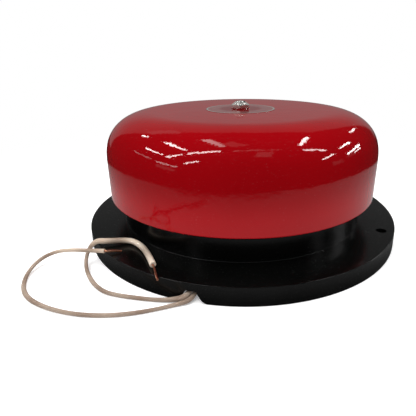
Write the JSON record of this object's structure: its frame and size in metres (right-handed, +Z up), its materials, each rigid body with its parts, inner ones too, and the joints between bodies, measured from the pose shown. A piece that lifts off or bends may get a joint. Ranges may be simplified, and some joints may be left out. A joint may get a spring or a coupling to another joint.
{
  "type": "under-dome electric gong bell",
  "caption": "Round electric bell: a dome gong on a central post over a flanged base, a hidden solenoid striker, and two sleeved leads out of a notch in the skirt.",
  "frame": {"origin": "centre of the base's bottom rim", "axes": "+Z up along the gong's post; +X along the striker towards the gong's wall; the leads come out on the -Y side"},
  "size_m": [0.2536, 0.2485, 0.0992],
  "materials": {
    "black_gloss": "glossy black moulding, mirror-like",
    "red_enamel": "glossy red stove enamel with slight orange peel",
    "label_film": "bare silvery-grey film",
    "bright_chrome": "polished plating",
    "spring_steel": "bright",
    "zinc_steel": "bright zinc plate",
    "frame_steel": "plain",
    "brass": "plain",
    "tinned_brass": "tinned",
    "copper_wire": "bare copper",
    "black_rubber": "matt",
    "bobbin_nylon": "natural nylon",
    "striker_nylon": "hard nylon",
    "coil_tape": "varnished cloth tape",
    "tag_laminate": "brown paper laminate",
    "black_moulding": "moulded",
    "sleeving": "varnished glass-fibre sleeving, beige"
  },
  "bodies": {
    "base": {"base_housing": "black_gloss", "gong": "red_enamel", "label_disc": "label_film", "gong_nut": "bright_chrome", "spring_washer": "spring_steel", "gong_cushion": "black_rubber", "gong_post": "zinc_steel", "post_washer": "zinc_steel", "post_nut": "zinc_steel", "chassis_plate": "zinc_steel", "chassis_screws": "zinc_steel", "solenoid_frame": "frame_steel", "frame_screws": "zinc_steel", "coil_bobbin": "bobbin_nylon", "coil_winding": "copper_wire", "coil_tape": "coil_tape", "guide_tube": "brass", "fixed_pole": "frame_steel", "pole_nut": "zinc_steel", "front_buffer": "black_rubber", "return_spring": "spring_steel", "tag_board": "tag_laminate", "board_pillars": "brass", "board_screws": "zinc_steel", "solder_tags": "tinned_brass", "rectifier_diode": "black_moulding", "coil_tail_a": "sleeving", "coil_tail_b": "sleeving", "cable_grommet": "black_rubber", "lead_a_inner": "sleeving", "lead_b_inner": "sleeving", "cable_clip": "bobbin_nylon", "clip_screws": "zinc_steel", "lead_a": "sleeving", "lead_b": "sleeving", "lead_a_core": "copper_wire", "lead_b_core": "copper_wire"},
    "striker": {"plunger": "frame_steel", "push_pin": "spring_steel", "striker_head": "striker_nylon", "retaining_clip": "spring_steel", "spring_collar": "zinc_steel"}
  },
  "joints": [
    {"name": "striker_slide", "type": "slide", "parent": "base", "child": "striker", "axis": [1, 0, 0], "range_m": [0, 0.004], "stiffness_N_per_m": 200, "springref_m": -0.01, "deforming": ["return_spring"]}
  ]
}
